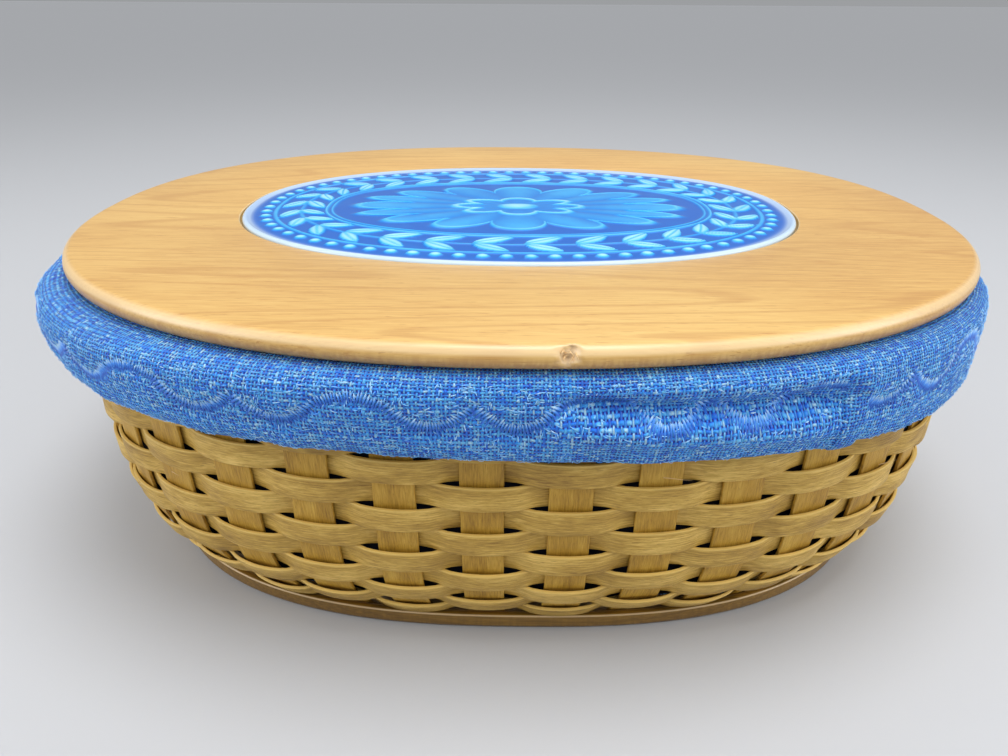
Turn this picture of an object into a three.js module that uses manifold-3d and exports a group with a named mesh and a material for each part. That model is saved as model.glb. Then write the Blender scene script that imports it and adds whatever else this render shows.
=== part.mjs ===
// An oval casserole carrier: a splint basket woven on a grooved wooden base, a cloth liner whose
// elastic cuff folds over the rim, and a loose wooden lid with a glazed tile set into its top.
// Millimetres, +Z up, long axis along X, front towards -Y, origin under the middle of the base.
import * as THREE from 'three';
import Module from 'manifold-3d';

// Plan of the rim: the middle of the woven wall, which the other rings are offset from
const RIM_LENGTH = 366;
const RIM_WIDTH = 300.6;
const OVAL_POWER = 2.52; // 2 is an ellipse, a higher power is fuller at the shoulders

// Profile of the wall: upright at the rim, turning under towards the base
const TURN_SLOPE = 0.9; // inward run for each millimetre down, at the foot of the wall
const TURN_HEIGHT = 29; // where the upright and the slope would meet
const TURN_SOFTNESS = 19.8; // how widely that corner is rounded

// Splints
const STAKE_COUNT = 38; // even, so that a plain weave closes on itself
const STAKE_WIDTH = 14.3;
const STAKE_THICKNESS = 1.2;
const STAKE_SHIFT = -11.5; // from the middle of the front to the nearest stake, along the wall
const WEAVER_ROWS = 10;
const WEAVER_WIDTH = 9.1;
const WEAVER_THICKNESS = 1.2;
const WEAVER_BOW = 0.9; // how far a weaver stands off the stake that it crosses
const ROW_GAP = 0.35;

// Base board
const BASE_INSET = 19.5; // from the rim's plan to the edge of the base
const BASE_THICKNESS = 8;
const BASE_LIP_HEIGHT = 6.8; // outer wall of the groove that holds the stakes
const BASE_GROOVE_FLOOR = 2;
const BASE_EDGE_RADIUS = 2.4;

// Rim bands and their tacks
const BAND_HEIGHT = 23.5;
const BAND_THICKNESS = 2.5;
const TACK_COUNT = 2;
const TACK_SHANK_RADIUS = 0.8;
const TACK_HEAD_RADIUS = 2.4;
const TACK_HEAD_THICKNESS = 1;
const TACK_SIDES = 8;

// Cloth liner
const CLOTH_THICKNESS = 1.4;
const LINER_LEVELS = 6;
const CUFF_JOIN_DROP = 8; // below the rim's top, where the wall cloth meets the cuff
const CUFF_BULGE = 12.5; // outward from the wall, at the fullest part of the cuff
const CUFF_DEPTH = 28; // from the rim's top down to the hem, at the front
const CUFF_SKEW = 3.5; // how much lower the hem hangs at the right end than at the front
const CUFF_FOLD = 0.9; // height of the soft folds round the cuff
const CUFF_FOLD_COUNT = 14;
const CUFF_SHOULDER = 0.2; // share of the fall where the cuff is first full
const CUFF_WAIST = 0.52; // share of the fall where it starts to draw in
const HEM_HEIGHT = 8.5;
const ELASTIC_WIDTH = 6.5;
const ELASTIC_THICKNESS = 1.5;

// Lid and tile
const LID_LENGTH = 380;
const LID_WIDTH = 317;
const LID_POWER = 2.24;
const LID_EDGE_THICKNESS = 8;
const LID_STEP_DEPTH = 4; // locating step that drops inside the rim
const LID_STEP_PLAY = 2;
const TILE_LENGTH = 248;
const TILE_WIDTH = 172;
const TILE_POWER = 2.22;
const TILE_THICKNESS = 6.4;
const TILE_POCKET_DEPTH = 6;
const TILE_GAP = 1;
const TILE_RIM_WIDTH = 6;
const TILE_RIM_RISE = 0.8;

const CLEARANCE = 0.3; // between pieces that touch
const EDGE_STEPS = 3; // flats on a rounded edge
const ARC_SAMPLES = 7200; // fine steps for measuring round the oval
const PROFILE_STEP = 0.05; // fine steps for measuring up the wall

const wasm = await Module();
wasm.setup();

const MATERIALS = {
  weaver: new THREE.MeshStandardMaterial({ color: 0xc9a165, roughness: 0.6, metalness: 0 }),
  stake: new THREE.MeshStandardMaterial({ color: 0xbf8f4a, roughness: 0.6, metalness: 0 }),
  wood: new THREE.MeshStandardMaterial({ color: 0xc98f50, roughness: 0.4, metalness: 0 }),
  cloth: new THREE.MeshStandardMaterial({ color: 0x4a72b8, roughness: 0.95, metalness: 0 }),
  elastic: new THREE.MeshStandardMaterial({ color: 0xe4e2da, roughness: 0.9, metalness: 0 }),
  glaze: new THREE.MeshStandardMaterial({ color: 0x2f6fc0, roughness: 0.12, metalness: 0 }),
  brass: new THREE.MeshStandardMaterial({ color: 0xb08d4a, roughness: 0.35, metalness: 1 }),
};

const carrier = new THREE.Group();
const basket = new THREE.Group();
const lid = new THREE.Group();
carrier.add(basket, lid);

function addPiece(group, name, geometry, material) {
  const piece = new THREE.Mesh(geometry, material.clone());
  piece.name = name;
  group.add(piece);
}

function paddedNumber(number) {
  return String(number).padStart(2, '0');
}

// Plan curves

// A station is a point on an oval with the oval's outward normal and its direction of travel.
function stationAt(angle, length, width, power) {
  const a = length / 2;
  const b = width / 2;
  const c = Math.cos(angle);
  const s = Math.sin(angle);
  const x = a * Math.sign(c) * Math.abs(c) ** (2 / power);
  const y = b * Math.sign(s) * Math.abs(s) ** (2 / power);
  const gradient = new THREE.Vector2(
    (Math.sign(x) * Math.abs(x / a) ** (power - 1)) / a,
    (Math.sign(y) * Math.abs(y / b) ** (power - 1)) / b,
  ).normalize();
  return { x, y, nx: gradient.x, ny: gradient.y, tx: -gradient.y, ty: gradient.x };
}

// Stations at even steps of length, anticlockwise, counted from the middle of the front.
function evenStations(length, width, power, count, shift) {
  const fine = [];
  let travelled = 0;
  for (let i = 0; i <= ARC_SAMPLES; i += 1) {
    const station = stationAt(-Math.PI / 2 + (2 * Math.PI * i) / ARC_SAMPLES, length, width, power);
    const last = fine[i - 1];
    travelled += last ? Math.hypot(station.x - last.x, station.y - last.y) : 0;
    fine.push({ ...station, travelled });
  }
  const stations = [];
  for (let k = 0; k < count; k += 1) {
    const wanted = (shift + (travelled * k) / count + travelled) % travelled;
    stations.push(fine.find((station) => station.travelled >= wanted));
  }
  return stations;
}

// Each station becomes two, a flat apart, so that rings run parallel to the flat stakes.
function flattened(stations, flat) {
  return stations.flatMap((station) => [-flat / 2, flat / 2].map((along) => ({
    ...station,
    x: station.x + station.tx * along,
    y: station.y + station.ty * along,
  })));
}

function pointAt(station, out, height) {
  return new THREE.Vector3(station.x + station.nx * out, station.y + station.ny * out, height);
}

// Wall profile

function wallOffset(height) {
  const above = TURN_HEIGHT - height;
  return (-TURN_SLOPE / 2) * (above + Math.hypot(above, TURN_SOFTNESS));
}

function wallSlope(height) {
  const above = TURN_HEIGHT - height;
  return (TURN_SLOPE / 2) * (1 + above / Math.hypot(above, TURN_SOFTNESS));
}

// The height reached after going up the wall's surface by a given length.
function climb(height, length) {
  let reached = height;
  let done = 0;
  while (done < length) {
    done += PROFILE_STEP * Math.hypot(1, wallSlope(reached));
    reached += PROFILE_STEP;
  }
  return reached;
}

// A point off the wall: out is along the surface's normal, up is along the surface.
function wallPoint(height, out, up) {
  const slope = wallSlope(height);
  const scale = Math.hypot(1, slope);
  return [
    wallOffset(height) + (out + up * slope) / scale,
    height + (up - out * slope) / scale,
  ];
}

// How far a face lies from the rim's plan at one height, given its distance from the wall's middle
function faceOffset(height, out) {
  return wallOffset(height) + out * Math.hypot(1, wallSlope(height));
}

// Solids from rings of points

function solidFrom(rings, closed) {
  const count = rings[0].length;
  const points = rings.flat();
  const faces = [];
  const joins = closed ? rings.length : rings.length - 1;
  for (let i = 0; i < joins; i += 1) {
    const low = i * count;
    const high = ((i + 1) % rings.length) * count;
    for (let j = 0; j < count; j += 1) {
      const next = (j + 1) % count;
      faces.push(low + j, low + next, high + next, low + j, high + next, high + j);
    }
  }
  if (!closed) {
    const last = (rings.length - 1) * count;
    points.push(middleOf(rings[0]), middleOf(rings[rings.length - 1]));
    for (let j = 0; j < count; j += 1) {
      const next = (j + 1) % count;
      faces.push(points.length - 2, next, j);
      faces.push(points.length - 1, last + j, last + next);
    }
  }
  const geometry = new THREE.BufferGeometry();
  geometry.setAttribute('position', new THREE.Float32BufferAttribute(points.flatMap((p) => p.toArray()), 3));
  geometry.setIndex(faces);
  geometry.computeVertexNormals();
  return geometry;
}

function middleOf(ring) {
  const middle = new THREE.Vector3();
  ring.forEach((point) => middle.add(point));
  return middle.divideScalar(ring.length);
}

function ringOf(stations, [out, height]) {
  return stations.map((station) => pointAt(station, out, height));
}

// A plate or board: outline points run from the underside's edge to the top's edge.
function boardFrom(stations, outline) {
  return solidFrom(outline.map((corner) => ringOf(stations, corner)), false);
}

// Corners of a rounded edge: a turn of an arc about a middle point, from and to in quarter turns
function roundedEdge([out, height], radius, from, to) {
  return Array.from({ length: EDGE_STEPS + 1 }, (unused, step) => {
    const turn = (from + ((to - from) * step) / EDGE_STEPS) * (Math.PI / 2);
    return [out + radius * Math.cos(turn), height + radius * Math.sin(turn)];
  });
}

// A ring: sectionAt gives each station's closed section, anticlockwise with the outside first.
function ringFrom(stations, sectionAt) {
  const sections = stations.map(sectionAt);
  const rings = sections[0].map((corner, i) => (
    stations.map((station, j) => pointAt(station, ...sections[j][i]))
  ));
  return solidFrom(rings, true);
}

// The closed section of a sheet that follows a path of [out, height] points, with mitred corners.
function sheetSection(path, thickness) {
  const points = path.map(([out, height]) => new THREE.Vector2(out, height));
  const shifted = (side) => points.map((point, i) => {
    const before = points[Math.max(i - 1, 0)];
    const after = points[Math.min(i + 1, points.length - 1)];
    const into = i > 0 ? point.clone().sub(before).normalize() : after.clone().sub(point).normalize();
    const outOf = i < points.length - 1 ? after.clone().sub(point).normalize() : into;
    const bisector = into.clone().add(outOf).normalize();
    const spread = thickness / 2 / bisector.dot(into);
    return [point.x + side * bisector.y * spread, point.y - side * bisector.x * spread];
  });
  return [...shifted(1), ...shifted(-1).reverse()];
}

// Cutting

function toSolid(geometry) {
  const vertProperties = new Float32Array(geometry.getAttribute('position').array);
  const triVerts = new Uint32Array(geometry.getIndex().array);
  return new wasm.Manifold(new wasm.Mesh({ numProp: 3, vertProperties, triVerts }));
}

function cut(geometry, tools) {
  let solid = toSolid(geometry);
  tools.forEach((tool) => {
    solid = solid.subtract(toSolid(tool));
  });
  const mesh = solid.getMesh();
  const result = new THREE.BufferGeometry();
  result.setAttribute('position', new THREE.Float32BufferAttribute(mesh.vertProperties, 3));
  result.setIndex([...mesh.triVerts]);
  result.computeVertexNormals();
  return result;
}

// A round pin across the wall at a station: steps are [out, radius] pairs from the inside outwards.
function pinFrom(station, height, steps) {
  const rings = steps.map(([out, radius]) => Array.from({ length: TACK_SIDES }, (unused, i) => {
    const turn = (2 * Math.PI * i) / TACK_SIDES;
    const middle = pointAt(station, out, height + radius * Math.sin(turn));
    middle.x += station.tx * radius * Math.cos(turn);
    middle.y += station.ty * radius * Math.cos(turn);
    return middle;
  }));
  return solidFrom(rings, false);
}

// Places shared by the pieces

const stakeStations = evenStations(RIM_LENGTH, RIM_WIDTH, OVAL_POWER, STAKE_COUNT, STAKE_SHIFT);
const ringStations = flattened(stakeStations, STAKE_WIDTH + 4 * CLEARANCE);
const stakeFace = STAKE_THICKNESS / 2 + CLEARANCE;
const weaverStandOff = stakeFace + WEAVER_BOW + WEAVER_THICKNESS / 2;
const weaverFace = weaverStandOff + WEAVER_THICKNESS / 2;
const firstRowRise = WEAVER_WIDTH / 2 + weaverFace * wallSlope(BASE_LIP_HEIGHT) + CLEARANCE;
const rowHeights = Array.from({ length: WEAVER_ROWS }, (unused, row) => (
  climb(BASE_LIP_HEIGHT, firstRowRise + row * (WEAVER_WIDTH + ROW_GAP))
));
const bandBottom = climb(rowHeights[WEAVER_ROWS - 1], WEAVER_WIDTH / 2 + ROW_GAP);
const rimTop = bandBottom + BAND_HEIGHT;
const tackHeight = bandBottom + BAND_HEIGHT / 2;
const outerBandInside = faceOffset(rimTop, stakeFace);
const outerBandOutside = outerBandInside + BAND_THICKNESS;
const innerBandOutside = faceOffset(bandBottom, -stakeFace);
const innerBandInside = innerBandOutside - BAND_THICKNESS;
const wallOutside = Math.max(outerBandOutside, faceOffset(rowHeights[WEAVER_ROWS - 1], weaverFace));
const tackStations = Array.from({ length: TACK_COUNT }, (unused, i) => (
  stakeStations[Math.round((i * STAKE_COUNT) / TACK_COUNT)]
));

// Base board, with a groove under the wall that takes the stakes' lower ends
{
  const edge = -BASE_INSET;
  const outline = [
    ...roundedEdge([edge - BASE_EDGE_RADIUS, BASE_EDGE_RADIUS], BASE_EDGE_RADIUS, -1, 0),
    [edge, BASE_LIP_HEIGHT],
    [faceOffset(BASE_LIP_HEIGHT, stakeFace), BASE_LIP_HEIGHT],
    [faceOffset(BASE_GROOVE_FLOOR, stakeFace), BASE_GROOVE_FLOOR],
    [faceOffset(BASE_GROOVE_FLOOR, -stakeFace), BASE_GROOVE_FLOOR],
    [faceOffset(BASE_THICKNESS, -stakeFace), BASE_THICKNESS],
  ];
  addPiece(basket, 'base_board', boardFrom(ringStations, outline), MATERIALS.wood);
}

// Upright stakes, from the base's groove to the rim
const stakeHeights = [
  BASE_GROOVE_FLOOR + CLEARANCE,
  ...rowHeights.filter((height, row) => row % 2 === 0),
  rimTop,
];

function tackBore(station) {
  const reach = BAND_THICKNESS + stakeFace + TACK_HEAD_RADIUS;
  const radius = TACK_SHANK_RADIUS + CLEARANCE;
  return pinFrom(station, tackHeight, [[-reach, radius], [reach, radius]]);
}

stakeStations.forEach((station, k) => {
  const half = STAKE_THICKNESS / 2;
  const edges = flattened([station], STAKE_WIDTH);
  const rings = stakeHeights.map((height) => [
    pointAt(edges[0], faceOffset(height, half), height),
    pointAt(edges[1], faceOffset(height, half), height),
    pointAt(edges[1], faceOffset(height, -half), height),
    pointAt(edges[0], faceOffset(height, -half), height),
  ]);
  const strip = solidFrom(rings, false);
  const shape = tackStations.includes(station) ? cut(strip, [tackBore(station)]) : strip;
  addPiece(basket, `stake_${paddedNumber(k + 1)}`, shape, MATERIALS.stake);
});

// Weavers: over one stake and under the next, each row opposite to the one below it
rowHeights.forEach((height, row) => {
  const geometry = ringFrom(ringStations, (station, j) => {
    const stake = Math.floor(j / 2);
    const side = (stake + row) % 2 === 0 ? -1 : 1;
    const outer = side * weaverStandOff + WEAVER_THICKNESS / 2;
    const inner = outer - WEAVER_THICKNESS;
    return [
      wallPoint(height, outer, -WEAVER_WIDTH / 2),
      wallPoint(height, outer, WEAVER_WIDTH / 2),
      wallPoint(height, inner, WEAVER_WIDTH / 2),
      wallPoint(height, inner, -WEAVER_WIDTH / 2),
    ];
  });
  addPiece(basket, `weaver_row_${paddedNumber(row + 1)}`, geometry, MATERIALS.weaver);
});

// Rim bands inside and outside the stakes, held by tacks
const bores = tackStations.map(tackBore);

function bandSection(inside, outside) {
  return () => [
    [outside, bandBottom],
    [outside, rimTop],
    [inside, rimTop],
    [inside, bandBottom],
  ];
}

const outerBand = bandSection(outerBandInside, outerBandOutside);
const innerBand = bandSection(innerBandInside, innerBandOutside);
addPiece(basket, 'rim_outer_band', cut(ringFrom(ringStations, outerBand), bores), MATERIALS.weaver);
addPiece(basket, 'rim_inner_band', cut(ringFrom(ringStations, innerBand), bores), MATERIALS.weaver);

tackStations.forEach((station, i) => {
  const underHead = outerBandOutside + CLEARANCE;
  const tack = pinFrom(station, tackHeight, [
    [innerBandInside, TACK_SHANK_RADIUS],
    [underHead, TACK_SHANK_RADIUS],
    [underHead, TACK_HEAD_RADIUS],
    [underHead + TACK_HEAD_THICKNESS, TACK_HEAD_RADIUS],
  ]);
  addPiece(basket, `rim_tack_${paddedNumber(i + 1)}`, tack, MATERIALS.brass);
});

// Liner: a floor and a wall of cloth inside the basket
const linerDepth = Math.max(weaverFace, stakeFace + BAND_THICKNESS) + CLEARANCE + CLOTH_THICKNESS / 2;
const linerFloor = BASE_THICKNESS + CLEARANCE;
const linerMiddle = innerBandInside - CLEARANCE - CLOTH_THICKNESS / 2;
const cuffJoin = rimTop - CUFF_JOIN_DROP;
{
  const path = Array.from({ length: LINER_LEVELS }, (unused, level) => {
    const share = (level / (LINER_LEVELS - 1)) ** 2;
    const height = BASE_THICKNESS + share * (cuffJoin - BASE_THICKNESS);
    return wallPoint(height, -linerDepth, 0);
  });
  const section = sheetSection(path, CLOTH_THICKNESS);
  const edge = Math.min(...section.map(([out]) => out)) - CLEARANCE;
  const floor = boardFrom(stakeStations, [[edge, linerFloor], [edge, linerFloor + CLOTH_THICKNESS]]);
  addPiece(basket, 'liner_floor', floor, MATERIALS.cloth);

  const wall = ringFrom(stakeStations, () => section);
  addPiece(basket, 'liner_wall', wall, MATERIALS.cloth);
}

// Cuff: the liner's top, folded over the rim, puffed out and drawn in by elastic at its hem
const hemInner = wallOutside + CLEARANCE + CLOTH_THICKNESS / 2;
const hemOuter = hemInner + CLOTH_THICKNESS + ELASTIC_THICKNESS + 2 * CLEARANCE;
const cuffTop = rimTop + CLEARANCE + CLOTH_THICKNESS / 2;

function hemHeight(station) {
  return rimTop - CUFF_DEPTH - CUFF_SKEW * (station.x / (RIM_LENGTH / 2));
}

{
  const cuff = ringFrom(ringStations, (station, j) => {
    const hem = hemHeight(station) + CLOTH_THICKNESS / 2;
    const fall = rimTop - hem;
    const fold = CUFF_FOLD * Math.cos((CUFF_FOLD_COUNT * 2 * Math.PI * j) / ringStations.length);
    const path = [
      [linerMiddle, cuffJoin + CLOTH_THICKNESS],
      [linerMiddle, cuffTop],
      [hemInner + CLOTH_THICKNESS, cuffTop],
      [CUFF_BULGE - CLOTH_THICKNESS / 2, rimTop - CUFF_SHOULDER * fall],
      [CUFF_BULGE - CLOTH_THICKNESS / 2 + fold, rimTop - CUFF_WAIST * fall],
      [hemOuter, hem],
      [hemInner, hem],
      [hemInner, hem + HEM_HEIGHT],
    ];
    return sheetSection(path, CLOTH_THICKNESS);
  });
  addPiece(basket, 'liner_cuff', cuff, MATERIALS.cloth);

  const elastic = ringFrom(ringStations, (station) => {
    const inside = hemInner + CLOTH_THICKNESS / 2 + CLEARANCE;
    const bottom = hemHeight(station) + CLOTH_THICKNESS + CLEARANCE;
    return [
      [inside + ELASTIC_THICKNESS, bottom],
      [inside + ELASTIC_THICKNESS, bottom + ELASTIC_WIDTH],
      [inside, bottom + ELASTIC_WIDTH],
      [inside, bottom],
    ];
  });
  addPiece(basket, 'hem_elastic', elastic, MATERIALS.elastic);
}

// Lid board: a round-nosed edge, a step that drops inside the rim, and a pocket for the tile
const lidShoulder = rimTop + 2 * CLEARANCE + CLOTH_THICKNESS;
const lidTop = lidShoulder + LID_EDGE_THICKNESS;
const pocketFloor = lidTop - TILE_POCKET_DEPTH;

// Stations on a plan of its own, each one opposite a station of the basket's rings
function matchingStations(length, width, power) {
  const shift = (STAKE_SHIFT - STAKE_WIDTH / 2) * (length / RIM_LENGTH);
  return evenStations(length, width, power, ringStations.length, shift);
}

const lidStations = matchingStations(LID_LENGTH, LID_WIDTH, LID_POWER);
const tileStations = matchingStations(TILE_LENGTH, TILE_WIDTH, TILE_POWER);
{
  const nose = LID_EDGE_THICKNESS / 2;
  const stepEdge = linerMiddle - CLOTH_THICKNESS / 2 - LID_STEP_PLAY;
  const edge = roundedEdge([-nose, lidShoulder + nose], nose, -1, 1);
  const rings = [
    ringOf(ringStations, [stepEdge, lidShoulder - LID_STEP_DEPTH]),
    ringOf(ringStations, [stepEdge, lidShoulder]),
    ...edge.map((corner) => ringOf(lidStations, corner)),
    ringOf(tileStations, [TILE_GAP, lidTop]),
    ringOf(tileStations, [TILE_GAP, pocketFloor]),
  ];
  addPiece(lid, 'lid_board', solidFrom(rings, false), MATERIALS.wood);
}

// Tile: a glazed slab with a rounded, slightly raised rim, lying loose in the pocket
{
  const foot = pocketFloor + CLEARANCE;
  const rim = TILE_RIM_WIDTH / 2;
  const outline = [
    [-TILE_RIM_RISE, foot],
    [0, foot + TILE_RIM_RISE],
    ...roundedEdge([-rim, foot + TILE_THICKNESS - rim], rim, 0, 1),
    [-TILE_RIM_WIDTH, foot + TILE_THICKNESS - TILE_RIM_RISE],
  ];
  addPiece(lid, 'lid_tile', boardFrom(tileStations, outline), MATERIALS.glaze);
}

export default carrier;
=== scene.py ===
# %% [markdown]
# # An oval casserole carrier
# This lesson dresses a finished construction: a splint basket on a wooden base, a blue cloth
# liner whose cuff folds over the rim, and a loose wooden lid with a glazed tile in its top.
# The construction comes in as a fixed frame. We never move it, we only replace its plain
# solids with pieces that have the real surface, in the same place and at the same size.

# %% Load the fixed frame
import bisect
import math
import random

import bmesh
import bpy
from mathutils import Matrix, Quaternion, Vector, noise


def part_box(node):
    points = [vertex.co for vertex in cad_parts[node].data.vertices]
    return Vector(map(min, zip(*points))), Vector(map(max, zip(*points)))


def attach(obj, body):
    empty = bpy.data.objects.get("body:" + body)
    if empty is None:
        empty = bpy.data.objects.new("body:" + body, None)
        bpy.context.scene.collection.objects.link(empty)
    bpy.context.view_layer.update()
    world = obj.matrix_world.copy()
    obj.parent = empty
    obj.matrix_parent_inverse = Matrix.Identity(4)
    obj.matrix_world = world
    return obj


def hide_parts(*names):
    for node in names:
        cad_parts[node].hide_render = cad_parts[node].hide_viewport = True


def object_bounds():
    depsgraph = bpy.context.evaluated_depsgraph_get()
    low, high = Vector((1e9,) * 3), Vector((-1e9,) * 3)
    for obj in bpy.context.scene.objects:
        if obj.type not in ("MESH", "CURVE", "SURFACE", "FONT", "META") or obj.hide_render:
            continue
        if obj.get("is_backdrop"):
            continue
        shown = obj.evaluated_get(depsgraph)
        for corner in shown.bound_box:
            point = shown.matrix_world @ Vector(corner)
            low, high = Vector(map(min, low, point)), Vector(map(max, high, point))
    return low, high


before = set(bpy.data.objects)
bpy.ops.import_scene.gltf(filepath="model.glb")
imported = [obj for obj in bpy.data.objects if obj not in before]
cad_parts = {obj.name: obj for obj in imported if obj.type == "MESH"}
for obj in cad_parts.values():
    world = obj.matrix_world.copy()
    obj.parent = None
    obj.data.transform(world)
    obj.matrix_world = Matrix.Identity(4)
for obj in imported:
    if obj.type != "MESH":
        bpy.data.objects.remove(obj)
cad_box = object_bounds()
MM = 0.001
UP = Vector((0, 0, 1))
dice = random.Random(11)
scene = bpy.context.scene
print("nodes in the frame:", len(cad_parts))

# %% [markdown]
# ## The camera
# The photograph was taken with a wide phone lens from close by, a little above the lid.
# Its place was found by fitting the lid's and the tile's ovals, so it is given from the middle
# of the lid's top. A camera made this way keeps the strong perspective of a near view.

# %% Camera
PHOTO_WIDTH = 1008  # pixels
FOCAL_PIXELS = 757
SENSOR_WIDTH = 36
CAMERA_FROM_LID = Vector((-2.6, -349.3, 86.6)) * MM
CAMERA_PITCH = 0.4661  # radians below the horizon
CAMERA_TURN = 0.0099
CAMERA_ROLL = 0.006

lid_low, lid_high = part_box("lid_board")
camera_data = bpy.data.cameras.new("camera")
camera_data.sensor_width = SENSOR_WIDTH
camera_data.lens = SENSOR_WIDTH * FOCAL_PIXELS / PHOTO_WIDTH
camera_data.clip_start = 10 * MM
camera = bpy.data.objects.new("camera", camera_data)
scene.collection.objects.link(camera)
scene.camera = camera
camera_back = Vector((
    math.sin(CAMERA_TURN) * math.cos(CAMERA_PITCH),
    -math.cos(CAMERA_TURN) * math.cos(CAMERA_PITCH),
    math.sin(CAMERA_PITCH),
))
camera.location = UP * lid_high[2] + CAMERA_FROM_LID
camera.rotation_mode = "QUATERNION"
camera.rotation_quaternion = (-camera_back).to_track_quat("-Z", "Y") @ Quaternion((0, 0, 1), CAMERA_ROLL)
print("lens:", round(camera_data.lens, 2), "mm")

# %% [markdown]
# ## Floor and light
# A pale floor and a few large soft lamps show the object as a studio would. Large lamps
# give the lacquer and the glaze broad reflections and keep the shadows open. A very wide sun
# straight above lights the floor evenly as far as it can be seen.

# %% Floor, world and lamps
FLOOR_SIZE = 60.0
FLOOR_GREY = (0.52, 0.53, 0.55, 1)
ROOM_WHITE = (0.80, 0.82, 0.85, 1)
ROOM_STRENGTH = 0.42
SKY_STRENGTH = 1.1
SKY_ANGLE = 120  # degrees

view_settings = scene.view_settings
view_settings.view_transform = "Standard"

floor_shape = bmesh.new()
bmesh.ops.create_grid(floor_shape, x_segments=1, y_segments=1, size=FLOOR_SIZE / 2)
floor_mesh = bpy.data.meshes.new("floor")
floor_shape.to_mesh(floor_mesh)
floor_shape.free()
floor = bpy.data.objects.new("floor", floor_mesh)
scene.collection.objects.link(floor)
floor_paint = bpy.data.materials.new("floor_paint")
floor_paint.use_nodes = True
floor_shader = floor_paint.node_tree.nodes["Principled BSDF"]
floor_shader.inputs["Base Color"].default_value = FLOOR_GREY
floor_shader.inputs["Roughness"].default_value = 0.7
floor_mesh.materials.append(floor_paint)
floor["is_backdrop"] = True

world = bpy.data.worlds.new("soft_room")
world.use_nodes = True
room = world.node_tree.nodes["Background"]
room.inputs["Color"].default_value = ROOM_WHITE
room.inputs["Strength"].default_value = ROOM_STRENGTH
scene.world = world


def area_lamp(name, place, target, size, power):
    data = bpy.data.lights.new(name, "AREA")
    data.shape = "DISK"
    data.size = size
    data.energy = power
    lamp = bpy.data.objects.new(name, data)
    lamp.location = place
    lamp.rotation_mode = "QUATERNION"
    lamp.rotation_quaternion = (Vector(target) - Vector(place)).to_track_quat("-Z", "Y")
    scene.collection.objects.link(lamp)
    return lamp


area_lamp("key_lamp", (0.1, -0.18, 1.3), (0, 0, 0.08), 0.7, 8.5)
area_lamp("left_lamp", (-1.2, -0.44, 0.6), (0, 0, 0.07), 0.8, 6.4)
area_lamp("right_lamp", (1.2, -0.44, 0.6), (0, 0, 0.07), 0.8, 6.8)
area_lamp("back_lamp", (0.1, 0.9, 1.0), (0, 0, 0.1), 0.9, 0.6)
sky_light = bpy.data.lights.new("sky_light", "SUN")
sky_light.energy = SKY_STRENGTH
sky_light.angle = math.radians(SKY_ANGLE)
scene.collection.objects.link(bpy.data.objects.new("sky_light", sky_light))

# %% [markdown]
# ## Ovals and the wall's profile
# Every ring of the basket is an offset of one oval, the rim's plan. The wall stands upright at
# the rim and turns under towards the base. Two small helpers hold these curves: one walks
# round the oval by length, the other gives the wall's offset at a height.

# %% Plan and profile
RIM_HALF_LENGTH = 183 * MM
RIM_HALF_WIDTH = 150.3 * MM
OVAL_POWER = 2.52
TURN_SLOPE = 0.9
TURN_HEIGHT = 29 * MM
TURN_SOFTNESS = 19.8 * MM
FINE_STEPS = 7200


class Oval:
    """A rounded oval that is walked by its length, from the middle of the front, anticlockwise."""

    def __init__(self, half_length, half_width, power):
        self.travelled, self.spots = [], []
        length = 0
        for i in range(FINE_STEPS + 1):
            turn = -math.pi / 2 + 2 * math.pi * i / FINE_STEPS
            c, s = math.cos(turn), math.sin(turn)
            x = half_length * math.copysign(abs(c) ** (2 / power), c)
            y = half_width * math.copysign(abs(s) ** (2 / power), s)
            out = Vector((
                math.copysign(abs(x / half_length) ** (power - 1), x) / half_length,
                math.copysign(abs(y / half_width) ** (power - 1), y) / half_width,
                0,
            )).normalized()
            spot = Vector((x, y, 0))
            length += (spot - self.spots[-1][0]).length if self.spots else 0
            self.travelled.append(length)
            self.spots.append((spot, out))
        self.length = length

    def at(self, share):
        """The point and the outward direction after a share of the whole way round."""
        wanted = (share % 1.0) * self.length
        after = min(bisect.bisect_left(self.travelled, wanted), FINE_STEPS)
        before = max(after - 1, 0)
        gap = self.travelled[after] - self.travelled[before]
        mix = (wanted - self.travelled[before]) / gap if gap > 0 else 0
        spot = self.spots[before][0].lerp(self.spots[after][0], mix)
        out = self.spots[before][1].lerp(self.spots[after][1], mix).normalized()
        return spot, out


rim = Oval(RIM_HALF_LENGTH, RIM_HALF_WIDTH, OVAL_POWER)


def wall_offset(height):
    below = TURN_HEIGHT - height
    return -TURN_SLOPE / 2 * (below + math.hypot(below, TURN_SOFTNESS))


def wall_slope(height):
    below = TURN_HEIGHT - height
    return TURN_SLOPE / 2 * (1 + below / math.hypot(below, TURN_SOFTNESS))


def wall_point(height, out, up):
    """Offset and height of a point off the wall, out along its normal and up along its surface."""
    slope = wall_slope(height)
    scale = math.hypot(1, slope)
    return wall_offset(height) + (out + up * slope) / scale, height + (up - out * slope) / scale


def climb(height, length, step=0.05 * MM):
    done = 0
    while done < length:
        done += step * math.hypot(1, wall_slope(height))
        height += step
    return height


print("rim's length round:", round(rim.length, 3), "m")

# %% [markdown]
# ## Two ways to make a mesh
# Strips and cloth start as a flat grid that is bent into place: each grid point is moved to
# where that spot of the strip lies. The flat grid also gives the UV map, in metres, so grain
# and weave follow the strip. Boards start as a circle that is extruded ring by ring.

# %% Mesh helpers
WELD = 0.001 * MM  # points nearer than this become one


def finished(name, shape):
    mesh = bpy.data.meshes.new(name)
    shape.to_mesh(mesh)
    shape.free()
    for face in mesh.polygons:
        face.use_smooth = True
    piece = bpy.data.objects.new(name, mesh)
    scene.collection.objects.link(piece)
    return piece


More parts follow.
